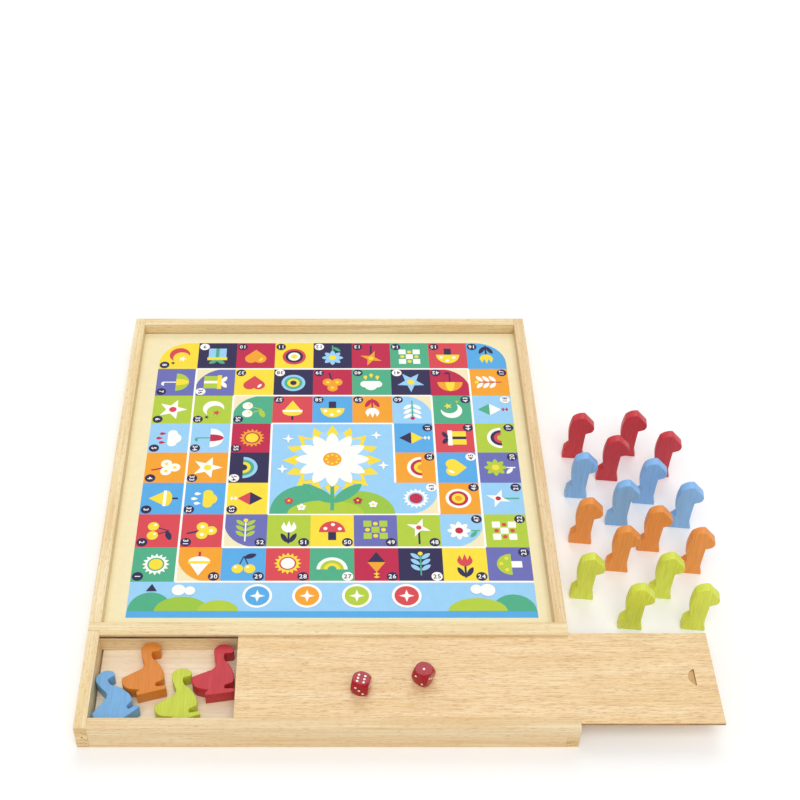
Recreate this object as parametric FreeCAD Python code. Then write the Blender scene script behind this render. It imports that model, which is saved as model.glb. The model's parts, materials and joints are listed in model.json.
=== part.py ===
# Double-sided wooden game board with a storage compartment, a sliding lid, pawns and dice.
# Millimetres. X runs to the right, Y away from the player, Z up.
# The origin is the middle of the cross rail's underside.
import FreeCAD, Part
import os
from FreeCAD import Vector

os.makedirs("parts", exist_ok=True)

# Frame
frame_width = 300.0           # outside, left to right
rail_thickness = 7.5          # side, back, front and end rails
cross_rail_thickness = 9.6    # rail between board and compartment
board_opening = 285.0         # clear, cross rail to back rail
tray_opening = 60.6           # clear, front rail to cross rail
housing_depth = 3.0           # end rails let into the cross rail's front face
corner_lap_height = 10.7      # low end rail's finger under the front rail's end

# Game panel, held in grooves in the two side rails at mid height
panel_thickness = 3.2
panel_tongue = 3.5            # how far each edge enters its groove
panel_end_gap = 1.0           # open gap at the back rail and at the cross rail
panel_clearance = 0.1         # groove around the panel's edge

# Compartment floor, held in grooves in the front rail and the cross rail
floor_thickness = 2.0
floor_recess = 1.8            # floor's underside above the rails' undersides
floor_tongue = 2.8
floor_end_gap = 1.0           # open gap at the left end rail
floor_clearance = 0.1

# Sliding lid, running in grooves in the front rail and the cross rail
lid_thickness = 1.8
lid_drop = 2.2                # lid's top below the rim
lid_tongue = 2.7
lid_side_clearance = 0.3      # between the lid's edge and the groove's bottom
lid_face_clearance = 0.15     # between the lid's faces and the groove's walls
lid_end_clearance = 0.3       # at the left end rail when the lid is shut
lid_open = 86.2               # how far the lid is drawn out to the right
low_rail_clearance = 0.3      # between the low end rail and the lid above it
headroom = 1.5                # over the tallest loose piece when the lid is shut

# Thumb notch: a half moon whose floor slopes down to the straight wall that the thumb pushes
notch_width = 12.0            # along the straight wall
notch_reach = 4.4             # from the straight wall to the arc
notch_depth = 1.2             # at the straight wall
notch_shallow = 0.2           # at the top of the arc
notch_from_end = 12.4         # straight wall from the lid's right end

# Pawns, sawn from board
goose_thickness = 9.0
horse_thickness = 6.4
goose_length = 27.8
goose_height = 36.0
horse_length = 19.5
horse_height = 40.5

# Dice, with drilled pips
die_size = 10.7
die_corner_cut = 1.60         # from the cube's sharp corner to the sphere that rounds it
pip_radius = 0.75
pip_depth = 0.35
pip_sides = 16                # flat sides that stand for each small circle
pip_spread = 2.3              # from the face's middle to an outer row

# Where the loose pieces lie. Geese lie on their sides in the compartment, in order from its left end:
# the rail that each lies along, the gap to that rail, the gap to what lies before it, and the turn
# in degrees.
goose_places = {
    "blue": ("front", 0.4, 0.4, 41.0),
    "orange": ("cross", 1.0, 1.8, 16.0),
    "lime": ("front", 1.3, 4.7, 18.5),
    "red": ("cross", 2.1, 1.35, 9.0),
}
# Horses: middle of the near face from the board's right side and from the cross rail's middle.
horse_turn = -6.0
horse_places = {
    "red": [(27.0, 166.0), (48.5, 144.0), (64.5, 168.5), (85.5, 148.0)],
    "blue": [(24.5, 127.5), (49.5, 102.0), (71.0, 122.0), (92.0, 100.0)],
    "orange": [(22.5, 86.0), (43.5, 61.5), (67.5, 79.0), (92.0, 60.0)],
    "lime": [(17.5, 38.5), (45.5, 14.0), (68.5, 39.0), (86.0, 13.5)],
}
# Dice: middle from the drawn lid's left end and from the front rail, and turn in degrees.
die_places = {
    "left": (76.2, 21.8, -15.0),
    "right": (114.1, 28.7, -35.0),
}
# Spots on the top, front and right faces. Opposite faces add up to seven.
die_spots = {
    "left": ("six", "three", "two"),
    "right": ("one", "two", "three"),
}

# Places that follow from the sizes above
half_width = frame_width / 2
inner_x = half_width - rail_thickness
cross_back = cross_rail_thickness / 2
cross_front = -cross_back
front_inner = cross_front - tray_opening
front_outer = front_inner - rail_thickness
back_inner = cross_back + board_opening
back_outer = back_inner + rail_thickness
end_rail_back = cross_front + housing_depth
floor_top = floor_recess + floor_thickness
lid_bottom = floor_top + max(goose_thickness, horse_thickness, die_size) + headroom
lid_top = lid_bottom + lid_thickness
frame_height = lid_top + lid_drop
panel_bottom = (frame_height - panel_thickness) / 2
low_rail_height = lid_bottom - low_rail_clearance
lid_left = -inner_x + lid_end_clearance + lid_open
lid_right = half_width + lid_open

length_tolerance = 0.01

# Outlines are drawn in shares of length and height, pawns facing right.
# Two points make a straight run, three make an arc.
goose_outline = [
    [(0.248, 0.000), (0.896, 0.000)],                    # sole
    [(0.896, 0.000), (0.905, 0.045), (0.867, 0.081)],    # toe
    [(0.867, 0.081), (0.701, 0.094)],                    # top of the foot
    [(0.701, 0.094), (0.689, 0.133), (0.730, 0.169)],    # notch above the foot
    [(0.730, 0.169), (0.881, 0.194)],                    # under the breast
    [(0.881, 0.194), (0.927, 0.290), (0.917, 0.403)],    # breast, low
    [(0.917, 0.403), (0.885, 0.505), (0.830, 0.605)],    # breast, high
    [(0.830, 0.605), (0.762, 0.715), (0.795, 0.811)],    # throat
    [(0.795, 0.811), (0.957, 0.803)],                    # under the beak
    [(0.957, 0.803), (1.000, 0.856), (0.975, 0.914)],    # beak
    [(0.975, 0.914), (0.880, 0.982), (0.759, 1.000)],    # forehead
    [(0.759, 1.000), (0.619, 0.969), (0.554, 0.883)],    # crown
    [(0.554, 0.883), (0.549, 0.750), (0.562, 0.640)],    # nape
    [(0.562, 0.640), (0.524, 0.546), (0.420, 0.500)],    # from neck to back
    [(0.420, 0.500), (0.022, 0.417)],                    # back
    [(0.022, 0.417), (0.000, 0.375), (0.007, 0.272)],    # tail
    [(0.007, 0.272), (0.070, 0.192), (0.140, 0.158)],    # under the tail
    [(0.140, 0.158), (0.320, 0.103)],                    # belly
    [(0.320, 0.103), (0.248, 0.067)],                    # notch behind the foot
    [(0.248, 0.067), (0.248, 0.000)],                    # heel
]
horse_outline = [
    [(0.000, 0.000), (0.785, 0.000)],                    # base
    [(0.785, 0.000), (0.785, 0.040)],                    # front of the base
    [(0.785, 0.040), (0.708, 0.165)],                    # front shoulder
    [(0.708, 0.165), (0.716, 0.400), (0.738, 0.620)],    # throat
    [(0.738, 0.620), (0.915, 0.663)],                    # jaw
    [(0.915, 0.663), (1.000, 0.735), (0.970, 0.815)],    # muzzle
    [(0.970, 0.815), (0.620, 1.000)],                    # forehead
    [(0.620, 1.000), (0.385, 0.973), (0.205, 0.895)],    # crown
    [(0.205, 0.895), (0.125, 0.620), (0.205, 0.310)],    # nape
    [(0.205, 0.310), (0.030, 0.205)],                    # back of the shoulder
    [(0.030, 0.205), (0.000, 0.000)],                    # back of the base
]


def block(x0, x1, y0, y1, z0, z1):
    return Part.makeBox(x1 - x0, y1 - y0, z1 - z0, Vector(x0, y0, z0))


def save(node, shape):
    shape.exportStep("parts/" + node + ".step")


def lid_groove(y_mouth, y_bottom):
    # open at the right end, where the lid is drawn out
    low, high = sorted((y_mouth, y_bottom))
    return block(-inner_x, half_width, low, high,
                 lid_bottom - lid_face_clearance, lid_top + lid_face_clearance)


def floor_groove(y_mouth, y_bottom):
    low, high = sorted((y_mouth, y_bottom))
    return block(-inner_x, inner_x, low, high, floor_recess - floor_clearance, floor_top + floor_clearance)


def side_rail(side):
    depth = panel_tongue + panel_clearance
    x_outer = side * half_width
    x_inner = side * inner_x
    rail = block(min(x_outer, x_inner), max(x_outer, x_inner), cross_back, back_outer, 0, frame_height)
    x_bottom = x_inner + side * depth
    groove = block(min(x_inner, x_bottom), max(x_inner, x_bottom), cross_back, back_inner,
                   panel_bottom - panel_clearance, panel_bottom + panel_thickness + panel_clearance)
    return rail.cut(groove)


def cross_rail():
    rail = block(-half_width, half_width, cross_front, cross_back, 0, frame_height)
    left_housing = block(-half_width, -inner_x, cross_front, end_rail_back, 0, frame_height)
    right_housing = block(inner_x, half_width, cross_front, end_rail_back, 0, low_rail_height)
    lid_run = lid_groove(cross_front, cross_front + lid_tongue + lid_side_clearance)
    floor_run = floor_groove(cross_front, cross_front + floor_tongue + floor_clearance)
    return rail.cut([left_housing, right_housing, lid_run, floor_run])


def front_rail():
    rail = block(-inner_x, half_width, front_outer, front_inner, 0, frame_height)
    corner_lap = block(inner_x, half_width, front_outer, front_inner, 0, corner_lap_height)
    lid_run = lid_groove(front_inner, front_inner - lid_tongue - lid_side_clearance)
    floor_run = floor_groove(front_inner, front_inner - floor_tongue - floor_clearance)
    return rail.cut([corner_lap, lid_run, floor_run])


def low_end_rail():
    body = block(inner_x, half_width, front_inner, end_rail_back, 0, low_rail_height)
    finger = block(inner_x, half_width, front_outer, front_inner, 0, corner_lap_height)
    return body.fuse(finger).removeSplitter()


def sliding_lid():
    lid = block(lid_left, lid_right, front_inner - lid_tongue, cross_front + lid_tongue,
                lid_bottom, lid_top)
    wall_x = lid_right - notch_from_end
    middle_y = (front_inner + cross_front) / 2
    half = notch_width / 2
    mouth_radius = (half ** 2 + notch_reach ** 2) / (2 * notch_reach)
    arc_x = wall_x - notch_reach
    corners = [Vector(x, middle_y - half, lid_top - depth) for x, depth in
               ((arc_x, 0), (wall_x, 0), (wall_x, notch_depth), (arc_x, notch_shallow), (arc_x, 0))]
    slope = Part.Face(Part.makePolygon(corners)).extrude(Vector(0, notch_width, 0))
    mouth = Part.makeCylinder(mouth_radius, lid_thickness, Vector(arc_x + mouth_radius, middle_y, lid_bottom))
    return lid.cut(slope.common(mouth))


def outline_face(spans, length, height):
    # upright in the XZ plane, with the heel of the first run on X = 0
    heel = spans[0][0][0]
    edges = []
    for span in spans:
        points = [Vector((u - heel) * length, 0, v * height) for u, v in span]
        if len(points) == 2:
            edges.append(Part.makeLine(*points))
        else:
            edges.append(Part.Arc(*points).toShape())
    return Part.Face(Part.Wire(edges))


def lying_geese():
    # Seen from above facing right. Each slides to the right along its rail until it clears those before it.
    laid = {}
    row_end = {"front": -inner_x, "cross": -inner_x}
    for colour, (rail, rail_gap, clear, turn) in goose_places.items():
        side = outline_face(goose_outline, goose_length, goose_height)
        side.rotate(Vector(0, 0, 0), Vector(1, 0, 0), -90)
        side.rotate(Vector(0, 0, 0), Vector(0, 0, 1), turn)
        box = side.optimalBoundingBox()
        y = front_inner + rail_gap - box.YMin if rail == "front" else cross_front - rail_gap - box.YMax
        side.translate(Vector(row_end[rail] + clear - box.XMin, y, floor_top))
        gap = min([side.distToShape(other)[0] for other in laid.values()], default=clear)
        while clear - gap > length_tolerance:
            side.translate(Vector(clear - gap, 0, 0))
            gap = min(side.distToShape(other)[0] for other in laid.values())
        row_end[rail] = side.optimalBoundingBox().XMax
        laid[colour] = side
    return {colour: side.extrude(Vector(0, 0, goose_thickness)) for colour, side in laid.items()}


def standing_horse(place):
    from_board, from_cross_rail = place
    body = outline_face(horse_outline, horse_length, horse_height).extrude(Vector(0, horse_thickness, 0))
    body.translate(Vector(-horse_length / 2, 0, 0))
    body.rotate(Vector(0, 0, 0), Vector(0, 0, 1), horse_turn)
    body.translate(Vector(half_width + from_board, from_cross_rail, 0))
    return body


def pip_layouts():
    # in steps of the pip spread, from one to six
    middle = [(0, 0)]
    corners = [(-1, 1), (1, -1), (-1, -1), (1, 1)]
    return {
        "one": middle,
        "two": corners[:2],
        "three": corners[:2] + middle,
        "four": corners,
        "five": corners + middle,
        "six": [(u * 0.85, v) for u, v in corners + [(-1, 0), (1, 0)]],
    }


def die(place, spots):
    from_lid_end, from_front, turn = place
    half = die_size / 2
    top, front, right = spots
    layouts = pip_layouts()
    opposite = dict(zip(layouts, reversed(layouts)))
    cube = Part.makeBox(die_size, die_size, die_size, Vector(-half, -half, -half))
    body = cube.common(Part.makeSphere(Vector(half, half, half).Length - die_corner_cut))
    x_axis, y_axis, z_axis = Vector(1, 0, 0), Vector(0, 1, 0), Vector(0, 0, 1)
    faces = [
        (z_axis, x_axis, y_axis, top), (-z_axis, x_axis, y_axis, opposite[top]),
        (-y_axis, x_axis, z_axis, front), (y_axis, x_axis, z_axis, opposite[front]),
        (x_axis, y_axis, z_axis, right), (-x_axis, y_axis, z_axis, opposite[right]),
    ]
    drilled = []
    for normal, across, along, spot_name in faces:
        for u, v in layouts[spot_name]:
            bottom = normal * (half - pip_depth) + across * (u * pip_spread) + along * (v * pip_spread)
            rim = Part.makePolygon(Part.makeCircle(pip_radius, bottom, normal).discretize(pip_sides + 1))
            drilled.append(Part.Face(rim).extrude(normal * pip_depth))
    body = body.cut(drilled)
    body.rotate(Vector(0, 0, 0), Vector(0, 0, 1), turn)
    body.translate(Vector(lid_left + from_lid_end, front_inner + from_front, lid_top + half))
    return body


save("board_side_rail_left", side_rail(-1))
save("board_side_rail_right", side_rail(1))
save("back_rail", block(-inner_x, inner_x, back_inner, back_outer, 0, frame_height))
save("cross_rail", cross_rail())
save("front_rail", front_rail())
save("left_end_rail", block(-half_width, -inner_x, front_outer, end_rail_back, 0, frame_height))
save("low_end_rail", low_end_rail())
save("game_panel", block(-inner_x - panel_tongue, inner_x + panel_tongue, cross_back + panel_end_gap,
                         back_inner - panel_end_gap, panel_bottom, panel_bottom + panel_thickness))
save("compartment_floor", block(-inner_x + floor_end_gap, inner_x, front_inner - floor_tongue,
                                cross_front + floor_tongue, floor_recess, floor_top))
save("sliding_lid", sliding_lid())
for colour, goose in lying_geese().items():
    save("goose_" + colour, goose)
for colour, places in horse_places.items():
    for number, place in enumerate(places, 1):
        save("horse_%s_%d" % (colour, number), standing_horse(place))
for side, place in die_places.items():
    save("die_" + side, die(place, die_spots[side]))
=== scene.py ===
import json
from math import cos, radians, sin

import bmesh
import bpy
from mathutils import Matrix, Vector


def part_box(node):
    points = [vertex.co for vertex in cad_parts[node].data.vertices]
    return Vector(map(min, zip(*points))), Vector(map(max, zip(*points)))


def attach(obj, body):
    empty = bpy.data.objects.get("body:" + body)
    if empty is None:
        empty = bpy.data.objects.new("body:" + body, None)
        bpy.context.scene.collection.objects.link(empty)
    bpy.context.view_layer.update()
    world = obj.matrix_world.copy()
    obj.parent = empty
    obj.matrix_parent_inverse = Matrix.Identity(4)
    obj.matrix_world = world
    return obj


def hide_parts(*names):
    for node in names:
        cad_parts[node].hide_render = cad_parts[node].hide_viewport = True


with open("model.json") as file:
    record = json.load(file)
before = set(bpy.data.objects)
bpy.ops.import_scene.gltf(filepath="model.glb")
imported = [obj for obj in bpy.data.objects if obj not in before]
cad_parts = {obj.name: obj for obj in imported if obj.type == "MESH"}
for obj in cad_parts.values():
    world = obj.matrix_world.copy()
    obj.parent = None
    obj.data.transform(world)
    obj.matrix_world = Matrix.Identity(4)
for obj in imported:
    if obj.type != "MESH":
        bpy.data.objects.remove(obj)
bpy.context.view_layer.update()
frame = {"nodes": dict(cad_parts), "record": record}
mm = 0.001
collection = bpy.context.scene.collection
print("frame loaded:", len(frame["nodes"]), "nodes")


def hexColour(text):
    parts = [int(text[i:i + 2], 16) / 255 for i in (1, 3, 5)]
    return [c / 12.92 if c <= 0.04045 else ((c + 0.055) / 1.055) ** 2.4 for c in parts] + [1.0]


def addNode(tree, kind, inputs={}, **settings):
    node = tree.nodes.new(kind)
    for name, value in settings.items():
        setattr(node, name, value)
    for socket, value in inputs.items():
        if isinstance(value, bpy.types.NodeSocket):
            tree.links.new(value, node.inputs[socket])
        else:
            node.inputs[socket].default_value = value
    return node


def newMaterial(name, **values):
    material = bpy.data.materials.new(name)
    material.use_nodes = True
    shader = material.node_tree.nodes["Principled BSDF"]
    for socket, value in values.items():
        shader.inputs[socket.replace("_", " ")].default_value = value
    return material, material.node_tree, shader


def deselectAll():
    if bpy.context.object and bpy.context.object.mode != "OBJECT":
        bpy.ops.object.mode_set(mode="OBJECT")
    bpy.ops.object.select_all(action="DESELECT")


def pick(piece, test):  # selects, in edit mode, the vertices that pass a test
    mesh = bmesh.from_edit_mesh(piece.data)
    for vertex in mesh.verts:
        vertex.select_set(test(vertex))
    mesh.select_flush(False)
    bmesh.update_edit_mesh(piece.data)


# Camera, floor and light

camera = dict(place=(0.0051, -0.5436, 0.7409), pitch=46.12, lens=64.14, shiftX=0.0799)
studio = dict(
    floor="#FDFDFD", floorSize=6.0, sky=0.6,
    key=dict(place=(0.05, -0.68, 1.36), spread=46, strength=1.18),  # high, in front and a little to the right
    back=dict(place=(0.1, 1.05, 1.3), spread=34, strength=0.54),  # behind, a sheen on what faces up
)

lens = bpy.data.cameras.new("camera")
lens.lens, lens.shift_x = camera["lens"], camera["shiftX"]
viewer = bpy.data.objects.new("camera", lens)
viewer.location = camera["place"]
viewer.rotation_euler = (radians(camera["pitch"]), 0, 0)
collection.objects.link(viewer)
bpy.context.scene.camera = viewer

world = bpy.data.worlds.new("studio")
world.use_nodes = True
world.node_tree.nodes["Background"].inputs["Strength"].default_value = studio["sky"]
world.node_tree.nodes["Background"].inputs["Color"].default_value = (1, 1, 1, 1)
bpy.context.scene.world = world
bpy.context.scene.view_settings.view_transform = "Standard"

for name in ("key", "back"):
    softBox = bpy.data.lights.new(name, "SUN")  # a sun as wide as a soft box, so that the paper is lit evenly
    softBox.angle, softBox.energy = radians(studio[name]["spread"]), studio[name]["strength"]
    lamp = bpy.data.objects.new(name, softBox)
    lamp.location = studio[name]["place"]
    lamp.rotation_euler = (-lamp.location).to_track_quat("-Z", "Y").to_euler()
    collection.objects.link(lamp)

deselectAll()
bpy.ops.mesh.primitive_plane_add(size=studio["floorSize"])
floor = bpy.context.object
floor.name = "floor"
paper, tree, shader = newMaterial("matteWhitePaper", Roughness=0.9)  # seamless studio paper, no gloss
shader.inputs["Base Color"].default_value = hexColour(studio["floor"])
floor.data.materials.append(paper)
print("stage set")


# Woods

# Planed beech: pale straw with broad warm bands, long fine streaks and a few dark ray flecks, under a thin
# matt oil.
beech = dict(
    pale="#F5E7BE", warm="#ECD4A0", streak="#DAAD6C", fleck="#BA7E42",
    band=(7, 120), line=(1.0, 60), dash=(0.5, 5),  # width and length of marks in mm, drawn a little coarse
    streakShare=0.75, fleckShare=0.45, fleckFrom=0.57, gloss=(0.42, 0.58), grainDepth=0.04,
)
# A darker beech, painted shade: it stands in for the shade on the right rail's inner face and on the front
# rail's face towards the viewer, and the low end rail gets it too.
shadedBeech = dict(beech, pale="#EFDBB2", warm="#E5C794", streak="#D2A466")
# Thin sliced lid board: a shade browner, thick with fine dashes that run its length.
lidBoard = dict(
    pale="#F7DFB3", warm="#EECD98", streak="#D6A86C", fleck="#B3834E",
    band=(9, 160), line=(0.55, 18), dash=(0.45, 4.5),
    streakShare=0.75, fleckShare=0.5, fleckFrom=0.54, gloss=(0.4, 0.55), grainDepth=0.03,
)
# Birch-faced plywood: almost plain, inside the tray. Its very pale tone is partly the birch's own and partly
# painted light, drawn paler to make up for the shade inside the tray.
birchFace = dict(
    pale="#FCEFD8", warm="#F6E3C2", streak="#E2C699", fleck="#CBA472",
    band=(12, 120), line=(1.3, 60), dash=(0.7, 8),
    streakShare=0.5, fleckShare=0.3, fleckFrom=0.6, gloss=(0.5, 0.62), grainDepth=0.02,
)
# The plywood's other face: brown tropical veneer with long open pores.
brownFace = dict(
    pale="#CF985F", warm="#BC8049", streak="#9E6434", fleck="#7E4A24",
    band=(12, 170), line=(0.9, 30), dash=(0.6, 8),
    streakShare=0.6, fleckShare=0.6, fleckFrom=0.58, gloss=(0.42, 0.55), grainDepth=0.04,
)


def planedWood(name, wood, along):
    material, tree, shader = newMaterial(name)
    place = addNode(tree, "ShaderNodeTexCoord").outputs["Object"]
    marks = {}
    for mark, detail in (("band", 2), ("line", 4), ("dash", 1)):
        width, length = wood[mark]
        size = [1 / (width * mm)] * 3
        size[along] = 1 / (length * mm)
        stretched = addNode(tree, "ShaderNodeMapping", {"Vector": place, "Scale": size})
        marks[mark] = addNode(tree, "ShaderNodeTexNoise", {
            "Vector": stretched.outputs[0], "Scale": 1.0, "Detail": detail, "Roughness": 0.6}).outputs[0]
    band = addNode(tree, "ShaderNodeMapRange", {0: marks["band"], 1: 0.3, 2: 0.7, 3: 0.0, 4: 1.0})
    line = addNode(tree, "ShaderNodeMapRange", {
        0: marks["line"], 1: 0.4, 2: 0.74, 3: 0.0, 4: wood["streakShare"]})
    dash = addNode(tree, "ShaderNodeMapRange", {
        0: marks["dash"], 1: wood["fleckFrom"], 2: wood["fleckFrom"] + 0.13, 3: 0.0, 4: wood["fleckShare"]})
    colour = addNode(tree, "ShaderNodeMix", {
        0: band.outputs[0], 6: hexColour(wood["pale"]), 7: hexColour(wood["warm"])}, data_type="RGBA")
    for share, tone in ((line, "streak"), (dash, "fleck")):
        colour = addNode(tree, "ShaderNodeMix", {
            0: share.outputs[0], 6: colour.outputs[2], 7: hexColour(wood[tone])}, data_type="RGBA")
    gloss = addNode(tree, "ShaderNodeMapRange", {
        0: marks["line"], 1: 0.3, 2: 0.7, 3: wood["gloss"][0], 4: wood["gloss"][1]})
    grain = addNode(tree, "ShaderNodeBump", {
        "Strength": 0.35, "Distance": wood["grainDepth"] * mm, "Height": marks["line"]})
    tree.links.new(colour.outputs[2], shader.inputs["Base Color"])
    tree.links.new(gloss.outputs[0], shader.inputs["Roughness"])
    tree.links.new(grain.outputs[0], shader.inputs["Normal"])
    return material


# Sawn end grain drinks a little more oil: flat growth rings, close pores, a dark pith mark and no shine.
endGrain = dict(
    pale="#EBD09C", dark="#C2935A", pore=0.5, poreDepth=0.05, ring=(14, 1.7),
    pith=(-145.8, -72.9, 10.4), pithSize=(0.5, 0.9), pithTone="#6E4420",
)
# The lid's sawn edges are browner, and the walls of its thumb notch take the same brown, which there also
# paints the shade in the notch. The walls of the grooves are dark brown, painted shade in the grooves. The
# floor of the thumb notch is only a little browner.
lidEdge = dict(endGrain, pale="#B98B55", dark="#8A5F33")
# painted shade: dark brown for the faces inside the grooves, where shade falls
paintedGrooveShade = dict(endGrain, pale="#A67A46", dark="#77502A")
notchFloor = dict(endGrain, pale="#E3C08B", dark="#C89E66")


def sawnEnd(name, wood):
    material, tree, shader = newMaterial(name, Roughness=0.68)
    place = addNode(tree, "ShaderNodeTexCoord").outputs["Object"]
    flat, tall = [1 / (size * mm) for size in wood["ring"]]
    pores = addNode(tree, "ShaderNodeTexNoise", {
        "Vector": place, "Scale": 1 / (wood["pore"] * mm), "Detail": 2.0})
    squashed = addNode(tree, "ShaderNodeMapping", {"Vector": place, "Scale": (flat, flat, tall)})
    rings = addNode(tree, "ShaderNodeTexNoise", {
        "Vector": squashed.outputs[0], "Scale": 1.0, "Detail": 1.0})
    both = addNode(tree, "ShaderNodeMath", {0: pores.outputs[0], 1: rings.outputs[0]}, operation="MULTIPLY")
    share = addNode(tree, "ShaderNodeMapRange", {0: both.outputs[0], 1: 0.16, 2: 0.38, 3: 0.0, 4: 1.0})
    colour = addNode(tree, "ShaderNodeMix", {
        0: share.outputs[0], 6: hexColour(wood["pale"]), 7: hexColour(wood["dark"])}, data_type="RGBA")
    away = addNode(tree, "ShaderNodeVectorMath", {
        0: place, 1: [c * mm for c in wood["pith"]]}, operation="DISTANCE")
    near, far = [size * mm for size in wood["pithSize"]]
    pith = addNode(tree, "ShaderNodeMapRange", {0: away.outputs["Value"], 1: near, 2: far, 3: 0.8, 4: 0.0})
    colour = addNode(tree, "ShaderNodeMix", {
        0: pith.outputs[0], 6: colour.outputs[2], 7: hexColour(wood["pithTone"])}, data_type="RGBA")
    pits = addNode(tree, "ShaderNodeBump", {
        "Strength": 0.4, "Distance": wood["poreDepth"] * mm, "Height": pores.outputs[0]})
    tree.links.new(colour.outputs[2], shader.inputs["Base Color"])
    tree.links.new(pits.outputs[0], shader.inputs["Normal"])
    return material


railWood = {
    "pale": (planedWood("planedBeechAcross", beech, 0),
             planedWood("planedBeechAway", beech, 1)),
    # the darker beech carries painted shade
    "deep": (planedWood("planedShadedBeechAcross", shadedBeech, 0),
             planedWood("planedShadedBeechAway", shadedBeech, 1)),
}
lidWood = planedWood("slicedLidBoard", lidBoard, 0)
trayTop = planedWood("birchFacedPlywood", birchFace, 0)
trayUnder = planedWood("brownFacedPlywood", brownFace, 0)
beechEnd = sawnEnd("sawnBeechEnd", endGrain)
lidSawn = sawnEnd("sawnLidEdge", lidEdge)
grooveShade = sawnEnd("paintedGrooveShade", paintedGrooveShade)
notchCut = sawnEnd("milledNotchFloor", notchFloor)


def standFor(piece, nodeName):
    body = next(b for b, nodes in frame["record"]["behaviour"]["bodies"].items() if nodeName in nodes)
    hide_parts(nodeName)
    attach(piece, body)


def mergedCopy(nodeName):  # the solid's own mesh, merged and left in edit mode
    deselectAll()
    piece = bpy.data.objects.new(nodeName + "_eased", frame["nodes"][nodeName].data.copy())
    collection.objects.link(piece)
    piece.data.materials.clear()
    piece.select_set(True)
    bpy.context.view_layer.objects.active = piece
    if piece.data.has_custom_normals:
        bpy.ops.mesh.customdata_custom_splitnormals_clear()
    bpy.ops.object.mode_set(mode="EDIT")
    bpy.ops.mesh.select_all(action="SELECT")
    bpy.ops.mesh.remove_doubles(threshold=0.002 * mm)
    bpy.ops.mesh.dissolve_limited(angle_limit=radians(0.5))
    return piece


def easeEdges(piece, width, steps, test):  # rounds, in edit mode, the edges that pass a test
    bpy.ops.mesh.select_mode(type="EDGE")
    bpy.ops.mesh.select_all(action="DESELECT")
    mesh = bmesh.from_edit_mesh(piece.data)
    for edge in mesh.edges:
        if test(edge):
            edge.select_set(True)
    bmesh.update_edit_mesh(piece.data)
    bpy.ops.mesh.bevel(offset=width * mm, segments=steps, affect="EDGES", clamp_overlap=False)
    bpy.ops.mesh.select_mode(type="VERT")


def easedBoard(nodeName, ease):  # outer arrises are sanded, grooves and laps stay as sawn
    piece = mergedCopy(nodeName)
    sides = [(i, corner[i]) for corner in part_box(nodeName) for i in range(3)]
    easeEdges(piece, ease, 2, lambda edge: sum(
        all(abs(v.co[i] - place) < 0.01 * mm for v in edge.verts) for i, place in sides) > 1)
    bpy.ops.object.mode_set(mode="OBJECT")
    bpy.ops.object.shade_flat()
    standFor(piece, nodeName)
    return piece


rails = dict(
    ease=0.25, groove=0.4,  # hand-sanded arris, and how far in a groove starts, in mm
    # rails marked deep get the darker beech, painted shade for their shaded faces
    across=dict(back_rail="pale", cross_rail="pale", front_rail="deep"),
    away=dict(board_side_rail_left="pale", board_side_rail_right="deep",
              left_end_rail="pale", low_end_rail="deep"),
)

for axis, run in enumerate(("across", "away")):
    for name, board in rails[run].items():
        rail = easedBoard(name, rails["ease"])
        for wood in (railWood[board][axis], beechEnd, grooveShade):
            rail.data.materials.append(wood)
        low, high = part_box(name)
        # faces set back into the rail, in grooves and laps, take the dark brown of painted groove shade
        for face in rail.data.polygons:
            depth = min(min(face.center[i] - low[i], high[i] - face.center[i]) for i in range(3))
            end = abs(face.normal[axis]) > 0.75  # ends show their pores
            face.material_index = 2 if depth > rails["groove"] * mm else int(end)
print("rails eased:", len(rails["across"]) + len(rails["away"]))

thinBoards = dict(ease=0.12, notch=0.15)  # finer arris, and how far down the notch's floor starts, in mm

lid = easedBoard("sliding_lid", thinBoards["ease"])
for wood in (lidWood, lidSawn, notchCut):
    lid.data.materials.append(wood)
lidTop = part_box("sliding_lid")[1].z
for face in lid.data.polygons:
    sunk = face.normal.z > 0.5 and face.center.z < lidTop - thinBoards["notch"] * mm
    # the walls of the notch take the lid edges' brown, which there also paints the shade in the notch
    sawn = abs(face.normal.z) < 0.5  # edges, and the walls of the notch
    face.material_index = 2 if sunk else int(sawn)

tray = easedBoard("compartment_floor", thinBoards["ease"])
tray.data.materials.append(trayTop)
tray.data.materials.append(trayUnder)
for face in tray.data.polygons:
    face.material_index = int(face.normal.z < -0.5)
print("lid and tray floor done")


# Stained and varnished beech pawns: strong dye with the grain just showing, satin varnish.
stain = dict(
    lying=dict(red="#C82433", blue="#74AEE0", orange="#DE821E", lime="#C9D437"),
    # The horses' stains are brighter than the geese's: partly their own hue, partly painted light that stands
    # in for the brighter light on the horses.
    upright=dict(red="#D02E38", blue="#86BCF2", orange="#F0943A", lime="#DDE648"),
    line=(0.9, 14), depth=0.16, grainDepth=0.04,  # fibre in mm, and how much deeper it takes the dye
)


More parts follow.
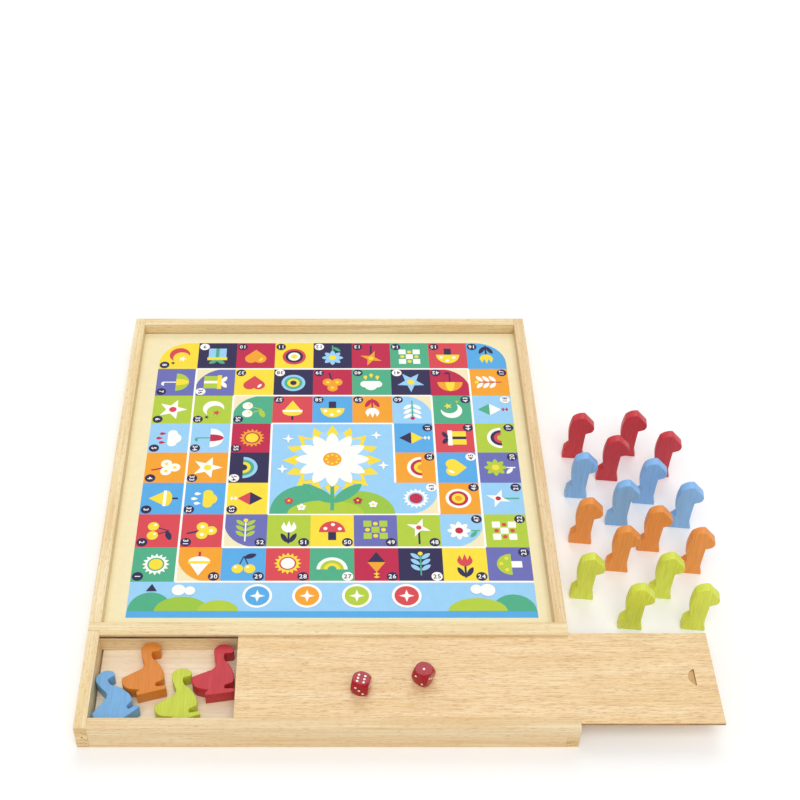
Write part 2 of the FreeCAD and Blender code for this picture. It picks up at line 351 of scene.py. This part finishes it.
def stainedPawn(name, tone, along):
    material, tree, shader = newMaterial(name, Coat_Weight=0.1, Coat_Roughness=0.25)
    place = addNode(tree, "ShaderNodeTexCoord").outputs["Object"]
    size = [1 / (stain["line"][0] * mm)] * 3
    size[along] = 1 / (stain["line"][1] * mm)
    stretched = addNode(tree, "ShaderNodeMapping", {"Vector": place, "Scale": size})
    fibre = addNode(tree, "ShaderNodeTexNoise", {
        "Vector": stretched.outputs[0], "Scale": 1.0, "Detail": 3.0}).outputs[0]
    full = hexColour(tone)
    share = addNode(tree, "ShaderNodeMapRange", {0: fibre, 1: 0.35, 2: 0.72, 3: 0.0, 4: 1.0})
    deep = [c * (1 - stain["depth"]) for c in full[:3]] + [1.0]
    colour = addNode(tree, "ShaderNodeMix", {0: share.outputs[0], 6: full, 7: deep}, data_type="RGBA")
    gloss = addNode(tree, "ShaderNodeMapRange", {0: fibre, 1: 0.3, 2: 0.7, 3: 0.4, 4: 0.52})
    grain = addNode(tree, "ShaderNodeBump", {
        "Strength": 0.3, "Distance": stain["grainDepth"] * mm, "Height": fibre})
    tree.links.new(colour.outputs[2], shader.inputs["Base Color"])
    tree.links.new(gloss.outputs[0], shader.inputs["Roughness"])
    tree.links.new(grain.outputs[0], shader.inputs["Normal"])
    return material


# Fretsawn from a board: the rims of the flat sides are sanded round, and so are the horses' corners.
pawns = dict(goose=dict(rim=0.4, corner=0.0), horse=dict(rim=0.45, corner=0.5), horses=4)


def onFlatSide(edge):
    return any(len(face.verts) > 4 for face in edge.link_faces)


def easedPawn(nodeName, rim, corner):
    piece = mergedCopy(nodeName)
    if corner:
        easeEdges(piece, corner, 2, lambda edge: (
            not onFlatSide(edge) and edge.is_convex and edge.calc_face_angle(0) > radians(30)))
    easeEdges(piece, rim, 3, onFlatSide)
    bpy.ops.mesh.select_all(action="DESELECT")
    bpy.ops.mesh.select_face_by_sides(number=4, type="GREATER")
    bpy.ops.mesh.region_to_loop()
    bpy.ops.mesh.mark_sharp()  # flat sides stay flat to the eye
    bpy.ops.mesh.select_mode(type="VERT")
    bpy.ops.object.mode_set(mode="OBJECT")
    bpy.ops.object.shade_smooth_by_angle(angle=radians(35))
    standFor(piece, nodeName)
    return piece


for tone in stain["lying"]:
    goose = easedPawn("goose_" + tone, **pawns["goose"])
    goose.data.materials.append(stainedPawn("stained_%s_lying" % tone, stain["lying"][tone], 1))
    upright = stainedPawn("stained_%s_upright" % tone, stain["upright"][tone], 2)
    for i in range(pawns["horses"]):
        horse = easedPawn("horse_%s_%d" % (tone, i + 1), **pawns["horse"])
        horse.data.materials.append(upright)
print("pawns stained:", len(stain["lying"]) * (1 + pawns["horses"]))


# Dice: cast acrylic, tumbled to a polish: a deep clear red, a soft gleam on top and a slightly wavy skin.
# The spots are drilled and filled in flat white enamel.
dice = dict(
    red="#BC0022", white="#FFF6F4", wave=2.5, waveDepth=0.1,
    half=5.35, ball=7.55, ease=0.3,  # half a side, ball that rounds the corners, radius of the edges, in mm
    spot=dict(radius=0.75, depth=0.35, spread=2.3, six=0.85, within=7),  # none lies further out than within
    die_left=dict(turn=-15, top=6, front=3, right=2),
    die_right=dict(turn=-35, top=1, front=2, right=3),
)

clearRed, tree, shader = newMaterial(
    "castRedAcrylic", Roughness=0.1, IOR=1.49, Specular_IOR_Level=0.05,
    Transmission_Weight=0.3, Coat_Weight=0.5, Coat_Roughness=0.08)
shader.inputs["Base Color"].default_value = hexColour(dice["red"])
place = addNode(tree, "ShaderNodeTexCoord").outputs["Object"]
ripple = addNode(tree, "ShaderNodeTexNoise", {
    "Vector": place, "Scale": 1 / (dice["wave"] * mm), "Detail": 1.0})
polish = addNode(tree, "ShaderNodeBump", {
    "Strength": 0.06, "Distance": dice["waveDepth"] * mm, "Height": ripple.outputs[0]})
tree.links.new(polish.outputs[0], shader.inputs["Normal"])

spotWhite, tree, shader = newMaterial("whiteEnamel", Roughness=0.35)
shader.inputs["Base Color"].default_value = hexColour(dice["white"])

# A ball sliced flat on six sides, then grown by the radius of the edges
axes = [Vector((1, 0, 0)), Vector((0, 1, 0)), Vector((0, 0, 1))]
deselectAll()
bpy.ops.mesh.primitive_uv_sphere_add(segments=64, ring_count=32, radius=(dice["ball"] - dice["ease"]) * mm)
blank = bpy.context.object
bpy.ops.object.mode_set(mode="EDIT")
for side in axes + [-axis for axis in axes]:
    slicePlace = side * (dice["half"] - dice["ease"]) * mm
    bpy.ops.mesh.select_all(action="SELECT")
    bpy.ops.mesh.bisect(plane_co=slicePlace, plane_no=side, clear_outer=True, use_fill=True)
bpy.ops.object.mode_set(mode="OBJECT")
bpy.ops.mesh.primitive_uv_sphere_add(segments=12, ring_count=6, radius=dice["ease"] * mm)
bead = bpy.context.object
grown = [v.co + b.co for v in blank.data.vertices for b in bead.data.vertices]
blank.data.clear_geometry()
blank.data.from_pydata(grown, [], [])
bpy.data.objects.remove(bead)
blank.select_set(True)
bpy.context.view_layer.objects.active = blank
bpy.ops.object.mode_set(mode="EDIT")
bpy.ops.mesh.select_all(action="SELECT")
bpy.ops.mesh.convex_hull()
bpy.ops.mesh.select_all(action="SELECT")
bpy.ops.mesh.remove_doubles(threshold=0.01 * mm)
bpy.ops.mesh.dissolve_limited(angle_limit=radians(0.5))
bpy.ops.mesh.normals_make_consistent(inside=False)
bpy.ops.object.mode_set(mode="OBJECT")

deselectAll()
bpy.ops.mesh.primitive_cylinder_add(
    vertices=24, radius=dice["spot"]["radius"] * mm, depth=dice["spot"]["depth"] * 2 * mm)
drill = bpy.context.object


def spotPlaces(count):
    corners = [(-1, 1), (1, -1), (-1, -1), (1, 1)]
    if count == 6:
        return [(x * dice["spot"]["six"], y) for x, y in corners + [(-1, 0), (1, 0)]]
    return corners[:count - count % 2] + [(0, 0)] * (count % 2)


for name in ("die_left", "die_right"):
    low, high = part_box(name)
    one, (x, y, z) = dice[name], axes
    deselectAll()
    holes = []
    for out, across, along, count in (
            (z, x, y, one["top"]), (-z, x, y, 7 - one["top"]), (-y, x, z, one["front"]),
            (y, x, z, 7 - one["front"]), (x, y, z, one["right"]), (-x, y, z, 7 - one["right"])):
        facing = out.to_track_quat("Z", "Y").to_matrix().to_4x4()
        for u, v in spotPlaces(count):
            place = out * dice["half"] + (across * u + along * v) * dice["spot"]["spread"]
            hole = bpy.data.objects.new("hole", drill.data.copy())
            hole.data.transform(Matrix.Translation(place * mm) @ facing)
            collection.objects.link(hole)
            hole.select_set(True)
            holes.append(hole)
    bpy.context.view_layer.objects.active = holes[0]
    bpy.ops.object.join()
    deselectAll()
    die = bpy.data.objects.new(name + "_cast", blank.data.copy())
    collection.objects.link(die)
    die.select_set(True)
    bpy.context.view_layer.objects.active = die
    cut = die.modifiers.new("drill", "BOOLEAN")
    cut.object, cut.operation, cut.solver = holes[0], "DIFFERENCE", "EXACT"
    bpy.ops.object.modifier_apply(modifier="drill")
    bpy.data.objects.remove(holes[0])
    bpy.ops.object.shade_smooth_by_angle(angle=radians(28))
    die.data.materials.clear()
    die.data.materials.append(clearRed)
    die.data.materials.append(spotWhite)
    for face in die.data.polygons:
        inside = dice["half"] * mm - max(abs(c) for c in face.center) > 0.01 * mm
        face.material_index = int(inside and face.center.length < dice["spot"]["within"] * mm)
    die.data.transform(Matrix.Translation((low + high) / 2) @ Matrix.Rotation(radians(one["turn"]), 4, "Z"))
    standFor(die, name)
bpy.data.objects.remove(blank)
bpy.data.objects.remove(drill)
print("dice cast")


# Printed board: cream ground and spot inks under one satin varnish.
inkHex = dict(
    cream="#F4E8BE", sky="#9AD0F5", blue="#56ABE6", yellow="#F9DF38", lime="#B4CE3B", grass="#9CC63F",
    teal="#4DAE86", red="#DA4650", crimson="#C1204A", violet="#6B6DB6", navy="#2A2350", orange="#F4A427",
    white="#FFFDF6", paleBlue="#A9D8F7", gold="#F2BC2E",
)
varnish = dict(cloud=6, tooth=0.7, toothDepth=0.02, thin=0.96)  # marks in mm, and how thin the ink gets


def varnishedInk(name, tone):
    material, tree, shader = newMaterial(name, Roughness=0.55, Specular_IOR_Level=0.3)
    place = addNode(tree, "ShaderNodeTexCoord").outputs["Object"]
    cloud = addNode(tree, "ShaderNodeTexNoise", {
        "Vector": place, "Scale": 1 / (varnish["cloud"] * mm), "Detail": 3.0})
    tooth = addNode(tree, "ShaderNodeTexNoise", {
        "Vector": place, "Scale": 1 / (varnish["tooth"] * mm), "Detail": 1.0})
    full = hexColour(tone)
    thin = [c * varnish["thin"] for c in full[:3]] + [1.0]  # ink film a little uneven
    share = addNode(tree, "ShaderNodeMapRange", {0: cloud.outputs[0], 1: 0.3, 2: 0.7, 3: 0.0, 4: 1.0})
    colour = addNode(tree, "ShaderNodeMix", {0: share.outputs[0], 6: full, 7: thin}, data_type="RGBA")
    peel = addNode(tree, "ShaderNodeBump", {
        "Strength": 0.08, "Distance": varnish["toothDepth"] * mm, "Height": tooth.outputs[0]})
    tree.links.new(colour.outputs[2], shader.inputs["Base Color"])
    tree.links.new(peel.outputs[0], shader.inputs["Normal"])
    return material


inks = {name: varnishedInk("varnished_ink_" + name, tone) for name, tone in inkHex.items()}
panelNode = frame["nodes"]["game_panel"]
for i in range(len(panelNode.material_slots)):
    panelNode.material_slots[i].material = inks["cream"]
print("inks mixed:", len(inks))

# Stencils, each modelled once in a unit square and then stamped in ink
stencils = {}
roundSides = 36  # enough to pass for a circle at this size


def startStencil(corners, turn=0.0):
    deselectAll()
    bpy.ops.mesh.primitive_circle_add(vertices=corners, radius=0.5, fill_type="NGON")
    piece = bpy.context.object
    bpy.ops.object.mode_set(mode="EDIT")
    if turn:
        bpy.ops.mesh.select_all(action="SELECT")
        bpy.ops.transform.rotate(value=radians(turn), orient_axis="Z", center_override=(0, 0, 0))
    return piece


def keepStencil(name, fill=True):
    piece = bpy.context.object
    bpy.ops.object.mode_set(mode="OBJECT")
    xs, ys = [[v.co[i] for v in piece.data.vertices] for i in (0, 1)]
    wide, high = max(xs) - min(xs), max(ys) - min(ys)
    middle = Vector(((max(xs) + min(xs)) / 2, (max(ys) + min(ys)) / 2, 0))
    size = (1 / wide, 1 / high, 1) if fill else (1 / high, 1 / high, 1)
    piece.data.transform(Matrix.Diagonal(size).to_4x4() @ Matrix.Translation(-middle))
    piece.data.materials.clear()
    stencils[name] = piece.data
    bpy.data.objects.remove(piece)


def pullIn(piece, share):  # every second corner moves towards the middle
    pick(piece, lambda v: v.index % 2)
    bpy.ops.transform.resize(value=(share, share, 1), center_override=(0, 0, 0))


plainStencils = (("disc", roundSides, 0), ("square", 4, 45), ("diamond", 4, 0), ("triangle", 3, 0))
for name, corners, turn in plainStencils:
    startStencil(corners, turn)
    keepStencil(name)
pointedStencils = (("star", 10, 0.42), ("spark", 8, 0.34), ("burst", 32, 0.74))
for name, corners, share in pointedStencils:
    pullIn(startStencil(corners), share)
    keepStencil(name)

startStencil(roundSides)
bpy.ops.mesh.select_all(action="SELECT")
bpy.ops.mesh.bisect(plane_co=(0, 0, 0), plane_no=(0, 1, 0), clear_inner=True)
keepStencil("half")

chord = 0.22  # leaf: a slice of the disc mirrored about its chord
startStencil(roundSides)
bpy.ops.mesh.select_all(action="SELECT")
bpy.ops.mesh.bisect(plane_co=(chord, 0, 0), plane_no=(1, 0, 0), clear_inner=True)
bpy.ops.mesh.select_all(action="SELECT")
bpy.ops.transform.translate(value=(-chord, 0, 0))
bpy.ops.mesh.symmetrize(direction="POSITIVE_X")
bpy.ops.mesh.select_all(action="SELECT")
bpy.ops.mesh.dissolve_limited(angle_limit=radians(0.5))
keepStencil("leaf")

drop = startStencil(roundSides)  # straight sides from a far tip to where they touch the disc
pick(drop, lambda v: v.co.y > 0.29 and abs(v.co.x) > 0.01)
bpy.ops.mesh.dissolve_verts()
pick(drop, lambda v: v.co.y > 0.45)
bpy.ops.transform.translate(value=(0, 0.4, 0))
keepStencil("drop")

corner = startStencil(4, 45)  # square with one rounded corner, upper left
pick(corner, lambda v: v.co.x < 0 and v.co.y > 0)
bpy.ops.mesh.bevel(offset=0.55, segments=8, affect="VERTICES")
keepStencil("corner")

for digit in "0123456789":
    deselectAll()
    bpy.ops.object.text_add()
    letter = bpy.context.object
    letter.data.body, letter.data.resolution_u = digit, 3
    letter.data.offset, letter.data.fill_mode = 0.018, "FRONT"
    bpy.ops.object.convert(target="MESH")
    keepStencil(digit, fill=False)
print("stencils cut:", len(stencils))

printed = []  # stamps of the sheet in hand
film = 0.02 * mm  # each ink film lies this far over the one below, thicker than real so that none flickers
digitPitch = 0.78  # from one digit to the next, as a share of their height


def cellAt(sheet, x, y, size, turn=0.0):
    place = Matrix.Translation((x * mm, y * mm, 0)) @ Matrix.Rotation(radians(turn), 4, "Z")
    return dict(matrix=sheet @ place @ Matrix.Diagonal((size * mm, size * mm, film, 1)), layer=0.0)


def stamp(cell, stencil, ink, x=0.0, y=0.0, wide=1.0, high=None, turn=0.0, lift=1.0):
    cell["layer"] += lift
    mesh = stencils[stencil].copy()
    mesh.transform(cell["matrix"] @ Matrix.Translation((x, y, cell["layer"]))
                   @ Matrix.Rotation(radians(turn), 4, "Z") @ Matrix.Diagonal((wide, high or wide, 1, 1)))
    mesh.materials.append(inks[ink])
    mark = bpy.data.objects.new(stencil, mesh)
    collection.objects.link(mark)
    printed.append(mark)


def ring(cell, stencil, ink, count, radius, wide, high=None, start=90.0, x=0.0, y=0.0, spin=True):
    for i in range(count):
        angle = start + 360 * i / count
        stamp(cell, stencil, ink, x + radius * cos(radians(angle)), y + radius * sin(radians(angle)),
              wide, high, angle - 90 if spin else 0, 0.1 if i else 1.0)


def number(cell, value, ink, x, y, high, turn=0.0):
    digits = str(value)
    for i, digit in enumerate(digits):
        along = (i - (len(digits) - 1) / 2) * high * digitPitch
        stamp(cell, digit, ink, x + along * cos(radians(turn)), y + along * sin(radians(turn)),
              high, high, turn, 0.1 if i else 1.0)


def joinPrint(name):
    deselectAll()
    for mark in printed:
        mark.select_set(True)
    bpy.context.view_layer.objects.active = printed[0]
    bpy.ops.object.join()
    sheet = bpy.context.object
    sheet.name = sheet.data.name = name
    printed.clear()
    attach(sheet, "frame")
    print(name, "faces:", len(sheet.data.polygons))


# Small pictures for the squares: a main ink, a second, an accent and the ground they lie on

def sunburst(cell, main, second, accent, ground):
    stamp(cell, "burst", main, 0, 0.03, 0.68)
    stamp(cell, "disc", ground, 0, 0.03, 0.42)
    stamp(cell, "disc", accent, 0, 0.03, 0.34)


def daisy(cell, main, second, accent, ground):
    stamp(cell, "square", second, 0, -0.24, 0.04, 0.4)
    stamp(cell, "leaf", second, -0.12, -0.28, 0.11, 0.26, 50)
    ring(cell, "leaf", main, 8, 0.17, 0.14, 0.26, y=0.08)
    stamp(cell, "disc", accent, 0, 0.08, 0.2)


def clover(cell, main, second, accent, ground):
    stamp(cell, "square", second, 0.05, -0.2, 0.05, 0.36, 14)
    ring(cell, "disc", main, 3, 0.15, 0.29, y=0.08)
    ring(cell, "disc", accent, 3, 0.15, 0.1, y=0.08)


def toadstool(cell, main, second, accent, ground):
    stamp(cell, "square", second, 0, -0.16, 0.2, 0.3)
    stamp(cell, "half", main, 0, 0.13, 0.66, 0.36)
    for x, y in ((-0.17, 0.07), (0.02, 0.2), (0.19, 0.06)):
        stamp(cell, "disc", accent, x, y, 0.1, lift=0.1)


def umbrella(cell, main, second, accent, ground):
    stamp(cell, "square", second, 0, -0.08, 0.04, 0.52)
    stamp(cell, "half", second, 0.06, -0.37, 0.16, 0.08, 180)
    stamp(cell, "half", main, 0, 0.18, 0.7, 0.36)
    stamp(cell, "half", accent, 0, 0.18, 0.26, 0.36)


def kite(cell, main, second, accent, ground):
    stamp(cell, "diamond", main, 0, 0.07, 0.44, 0.64)
    stamp(cell, "triangle", second, 0, 0.23, 0.44, 0.32)
    stamp(cell, "square", accent, 0, -0.33, 0.025, 0.18)
    for y in (-0.3, -0.4):
        stamp(cell, "diamond", accent, 0, y, 0.16, 0.07)


def heart(cell, main, second, accent, ground):
    stamp(cell, "diamond", main, 0, -0.01, 0.5)
    for x in (-0.125, 0.125):
        stamp(cell, "disc", main, x, 0.115, 0.352, lift=0.3)
    stamp(cell, "leaf", accent, -0.15, 0.15, 0.08, 0.18, -35)


def cherries(cell, main, second, accent, ground):
    stamp(cell, "square", second, -0.06, 0.08, 0.03, 0.38, -20)
    stamp(cell, "square", second, 0.08, 0.08, 0.03, 0.38, 22, 0.2)
    stamp(cell, "leaf", second, 0.16, 0.26, 0.15, 0.32, -70)
    for x in (-0.14, 0.16):
        stamp(cell, "disc", main, x, -0.14, 0.28, lift=0.3)
        stamp(cell, "disc", accent, x - 0.05, -0.09, 0.07, lift=0.3)


def pinwheel(cell, main, second, accent, ground):
    stamp(cell, "square", second, 0, -0.22, 0.05, 0.44)
    ring(cell, "triangle", main, 4, 0.17, 0.19, 0.3, start=70, y=0.1)
    stamp(cell, "disc", accent, 0, 0.1, 0.14)


def rainCloud(cell, main, second, accent, ground):
    for x, y, size in ((-0.16, 0.08, 0.26), (0.02, 0.14, 0.36), (0.19, 0.08, 0.25)):
        stamp(cell, "disc", main, x, y, size, lift=0.3)
    stamp(cell, "square", main, 0.01, 0.03, 0.44, 0.15, lift=0.3)
    for x, y in ((-0.16, -0.18), (0.01, -0.26), (0.17, -0.18)):
        stamp(cell, "drop", accent, x, y, 0.1, 0.18, lift=0.1)


def tulip(cell, main, second, accent, ground):
    stamp(cell, "square", second, 0, -0.22, 0.05, 0.4)
    for side in (-1, 1):
        stamp(cell, "leaf", second, 0.11 * side, -0.24, 0.13, 0.34, -28 * side, 0.3)
    stamp(cell, "half", main, 0, 0.04, 0.38, 0.2, 180)
    for x, high in ((-0.127, 0.16), (0, 0.2), (0.127, 0.16)):
        stamp(cell, "triangle", main, x, 0.13 + high / 2, 0.127, high, lift=0.1)


def crescent(cell, main, second, accent, ground):
    stamp(cell, "disc", main, -0.04, 0.02, 0.58)
    stamp(cell, "disc", ground, 0.09, 0.08, 0.48)
    stamp(cell, "star", accent, 0.13, 0.12, 0.22)
    stamp(cell, "star", second, 0.3, -0.14, 0.13)


def rainbow(cell, main, second, accent, ground):
    for ink, wide in ((main, 0.76), (second, 0.58), (accent, 0.4), (ground, 0.22)):
        stamp(cell, "half", ink, 0, wide / 4 - 0.16, wide, wide / 2)


def target(cell, main, second, accent, ground):
    for ink, wide in ((main, 0.66), (second, 0.5), (accent, 0.34), (ground, 0.18)):
        stamp(cell, "disc", ink, 0, 0.03, wide)


def spinningTop(cell, main, second, accent, ground):
    stamp(cell, "square", second, 0, 0.3, 0.06, 0.2)
    stamp(cell, "half", main, 0, 0.17, 0.54, 0.16)
    stamp(cell, "triangle", main, 0, -0.13, 0.54, 0.44, 180)
    stamp(cell, "square", accent, 0, 0.06, 0.54, 0.08)


def draughts(cell, main, second, accent, ground):
    for i in range(9):
        shape, ink, size = ("disc", accent, 0.12) if i % 2 else ("square", main, 0.2)
        stamp(cell, shape, ink, (i % 3 - 1) * 0.2, (i // 3 - 1) * 0.2 + 0.03, size, lift=0.1)


def bigStar(cell, main, second, accent, ground):
    stamp(cell, "star", main, 0, 0.03, 0.74)
    stamp(cell, "disc", accent, 0, 0.0, 0.2)


def sprig(cell, main, second, accent, ground):
    stamp(cell, "square", second, 0, -0.02, 0.035, 0.66)
    for y in (-0.16, 0.02, 0.2):
        for side in (-1, 1):
            stamp(cell, "leaf", main, 0.13 * side, y + 0.06, 0.12, 0.28, -52 * side, 0.2)
    stamp(cell, "disc", accent, 0, 0.34, 0.12)


def parcel(cell, main, second, accent, ground):
    stamp(cell, "square", main, 0, -0.1, 0.5, 0.42)
    stamp(cell, "square", second, 0, -0.1, 0.1, 0.42)
    stamp(cell, "square", accent, 0, 0.12, 0.56, 0.12)
    for side in (-1, 1):
        stamp(cell, "leaf", second, 0.11 * side, 0.25, 0.13, 0.26, -60 * side, 0.3)


pictures = (sunburst, daisy, clover, toadstool, umbrella, kite, heart, cherries, pinwheel, rainCloud,
            tulip, crescent, rainbow, target, spinningTop, draughts, bigStar, sprig, parcel)
grounds = (  # ground, main, second, accent
    ("teal", "white", "lime", "yellow"), ("yellow", "red", "navy", "white"),
    ("sky", "white", "teal", "crimson"), ("red", "yellow", "navy", "white"),
    ("navy", "sky", "teal", "yellow"), ("lime", "white", "navy", "red"),
    ("blue", "yellow", "navy", "white"), ("crimson", "orange", "navy", "yellow"),
    ("violet", "lime", "white", "yellow"), ("orange", "white", "crimson", "yellow"),
)

# Goose face: sixty-three numbered squares in a spiral round one large picture
gooseFace = dict(
    middle=(2.45, 146.25), pitch=29.25, seam=1.5,  # in mm
    cells=9, squares=63,  # to a side, and in all
    picture=0.92, badge=0.25, badgeAt=(0.35, -0.35), figure=0.12,  # shares of a square
)
panelTop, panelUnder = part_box("game_panel")[1].z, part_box("game_panel")[0].z
gooseSheet = Matrix.Translation((gooseFace["middle"][0] * mm, gooseFace["middle"][1] * mm, panelTop))
cells, half = gooseFace["cells"], (gooseFace["cells"] - 1) / 2


def gooseCell(column, row, size=1.0, turn=0.0):
    return cellAt(gooseSheet, (column - half) * gooseFace["pitch"], (row - half) * gooseFace["pitch"],
                  size * gooseFace["pitch"], turn)


spiral, seen = [], {(column, 0) for column in range(cells)}
spot, step = (0, 1), (0, 1)
while len(spiral) < gooseFace["squares"]:  # up the left side, then clockwise and inwards
    turned = (step[1], -step[0])
    ahead = (spot[0] + step[0], spot[1] + step[1])
    blocked = ahead in seen or not (0 <= ahead[0] < cells and 1 <= ahead[1] < cells)
    spiral.append((spot, step, turned if blocked else step))
    seen.add(spot)
    step = turned if blocked else step
    spot = (spot[0] + step[0], spot[1] + step[1])

sideTurn = {(0, 1): -90, (1, 0): 180, (0, -1): 90, (-1, 0): 0}  # pictures stand on the outer edge
cornerTurn = {(0, 1): 0, (1, 0): -90, (0, -1): 180, (-1, 0): 90}
inset = Matrix.Diagonal((gooseFace["picture"], gooseFace["picture"], 1, 1))
for count, (spot, came, goes) in enumerate(spiral):
    ground, main, second, accent = grounds[(count * 3 + count // len(grounds)) % len(grounds)]
    base = gooseCell(*spot, turn=cornerTurn[came])
    rounded = came != goes and spot != (cells - 1, 1)
    stamp(base, "corner" if rounded else "square", ground)
    cell = gooseCell(*spot, turn=sideTurn[came])
    picture = dict(matrix=cell["matrix"] @ inset, layer=1.0)
    draw = pictures[(count * 7 + count // len(pictures)) % len(pictures)]
    draw(picture, main, second, accent, ground)
    cell["layer"] = picture["layer"]
    marked = (count + 1) % 9 == 0 or ground == "navy"  # a pale badge
    stamp(cell, "disc", "white" if marked else "navy", *gooseFace["badgeAt"], gooseFace["badge"])
    number(cell, count + 1, "navy" if marked else "white", *gooseFace["badgeAt"], gooseFace["figure"])

for i, (x0, y0, x1, y1) in enumerate((  # white seams between the turns of the spiral, in squares
        (1, 1, 1, 8), (1, 8, 8, 8), (8, 8, 8, 2), (1, 1, 9, 1), (2, 2, 2, 7), (2, 7, 7, 7),
        (7, 7, 7, 3), (2, 2, 8, 2), (3, 3, 3, 6), (3, 6, 6, 6), (6, 6, 6, 4), (3, 3, 7, 3))):
    seam = gooseCell((x0 + x1) / 2 - 0.5, (y0 + y1) / 2 - 0.5)
    seam["layer"] = 1.5 + 0.1 * i  # none in the plane of the one it crosses
    thick = gooseFace["seam"] / gooseFace["pitch"]
    stamp(seam, "square", "white", 0, 0, max(abs(x1 - x0), thick), max(abs(y1 - y0), thick))

centre = gooseCell(half, half, 3.0)  # large picture: a white bloom over hills and sun
stamp(centre, "square", "sky")
stamp(centre, "burst", "yellow", 0, 0.08, 0.8)
stamp(centre, "disc", "gold", 0, 0.08, 0.52)
hills = (("teal", -0.22, 0.54, 0.3), ("grass", 0.2, 0.58, 0.24), ("lime", -0.05, 0.6, 0.14))
for ink, x, wide, high in hills:
    stamp(centre, "half", ink, x, high / 2 - 0.495, wide, high)
stamp(centre, "square", "teal", 0, -0.24, 0.03, 0.44)
for side in (-1, 1):
    stamp(centre, "leaf", "teal", 0.12 * side, -0.28, 0.1, 0.3, -48 * side, 0.3)
ring(centre, "leaf", "paleBlue", 12, 0.19, 0.11, 0.27, start=75, y=0.09)
ring(centre, "leaf", "white", 12, 0.17, 0.11, 0.26, y=0.09)
stamp(centre, "disc", "orange", 0, 0.09, 0.15)
ring(centre, "disc", "yellow", 8, 0.048, 0.022, y=0.09)
for x, y in ((-0.36, 0.32), (0.36, 0.36), (-0.4, -0.02), (0.41, 0.02)):
    stamp(centre, "spark", "white", x, y, 0.1)
blossoms = (("red", -0.34, -0.36), ("white", -0.24, -0.43), ("white", 0.32, -0.4), ("crimson", 0.2, -0.36))
for ink, x, y in blossoms:
    ring(centre, "disc", ink, 5, 0.022, 0.028, x=x, y=y)
    stamp(centre, "disc", "yellow", x, y, 0.02)

strip = gooseCell(half, 0)  # starting strip: four coloured spots between two hedges
stamp(strip, "square", "sky", 0, 0, cells, 1)
stamp(strip, "square", "blue", 0, -0.41, cells, 0.18)
hedges = (("teal", -4.0, 0.98, 0.52), ("grass", -3.3, 1.2, 0.4), ("lime", -2.5, 0.9, 0.3),
          ("teal", 4.0, 0.98, 0.46), ("lime", 3.2, 1.3, 0.36))
for ink, x, wide, high in hedges:
    stamp(strip, "half", ink, x, high / 2 - 0.32, wide, high)
for i, ink in enumerate(("blue", "orange", "lime", "red")):
    x = (i - 1.5) * 1.1
    stamp(strip, "disc", "white", x, 0.1, 0.66)
    stamp(strip, "disc", ink, x, 0.1, 0.54, lift=0.5)
    stamp(strip, "spark", "white", x, 0.1, 0.34, lift=0.5)
for x, y, size in ((-3.4, 0.26, 0.3), (-3.15, 0.24, 0.24), (3.2, 0.28, 0.26), (3.45, 0.26, 0.34)):
    stamp(strip, "disc", "white", x, y, size, lift=0.3)
stamp(strip, "triangle", "navy", -4.0, 0.33, 0.24, 0.2)
joinPrint("goose_face_print")

# Ludo face, on the underside: the traditional cross of round steps
ludoFace = dict(  # in mm, apart from the number of steps
    middle=(0, 147), steps=7, first=19.3, step=17.3, disc=14.6, plate=(17.7, 12.6), figure=8.2,
    arrow=6.5, arrowDrop=0.3, star=22, ray=(6.4, 13.0), rayAt=7.6, corner=82.5, medal=104,
)
ludoSheet = Matrix(((0, -1, 0, ludoFace["middle"][0] * mm), (-1, 0, 0, ludoFace["middle"][1] * mm),
                    (0, 0, -1, panelUnder), (0, 0, 0, 1)))
arms = ("red", "yellow", "paleBlue", "grass")  # clockwise from the top as seen from below
last = ludoFace["steps"] - 1
for i, ink in enumerate(arms):
    arm = cellAt(ludoSheet, 0, 0, 1, -90 * i)
    for k in range(ludoFace["steps"]):
        y = ludoFace["first"] + ludoFace["step"] * k
        arm["layer"] = 0.0
        stamp(arm, "disc", ink, ludoFace["first"], y, ludoFace["disc"])
        if k:
            stamp(arm, "disc", arms[i - 1], -ludoFace["first"], y, ludoFace["disc"], lift=0)
        if k < last:
            stamp(arm, "square", ink, 0, y, *ludoFace["plate"], lift=0)
            number(arm, last - k, "navy", 0, y, ludoFace["figure"], 180)
        else:
            stamp(arm, "disc", ink, 0, y, ludoFace["disc"], lift=0)
            arrowAt = y - ludoFace["arrowDrop"]
            stamp(arm, "triangle", "navy", ludoFace["first"], arrowAt, ludoFace["arrow"], turn=180)

star = cellAt(ludoSheet, 0, 0, 1)
for i, ink in enumerate(("red", "orange", "blue", "teal")):
    angle = 45 - 90 * i
    x, y = ludoFace["rayAt"] * cos(radians(angle)), ludoFace["rayAt"] * sin(radians(angle))
    stamp(star, "triangle", ink, x, y, *ludoFace["ray"], angle - 90, 0.2)
stamp(star, "spark", "navy", 0, 0, ludoFace["star"])

medals = (
    (-1, 1, "teal", clover, "white", "lime", "yellow"),
    (1, 1, "red", pinwheel, "crimson", "navy", "white"),
    (1, -1, "gold", sunburst, "yellow", "navy", "white"),
    (-1, -1, "blue", rainCloud, "paleBlue", "navy", "white"),
)
for x, y, disc, draw, main, second, accent in medals:
    medal = cellAt(ludoSheet, x * ludoFace["corner"], y * ludoFace["corner"], ludoFace["medal"])
    stamp(medal, "disc", disc)
    draw(medal, main, second, accent, disc)
    ring(medal, "disc", accent, 16, 0.43, 0.028)
joinPrint("ludo_face_print")
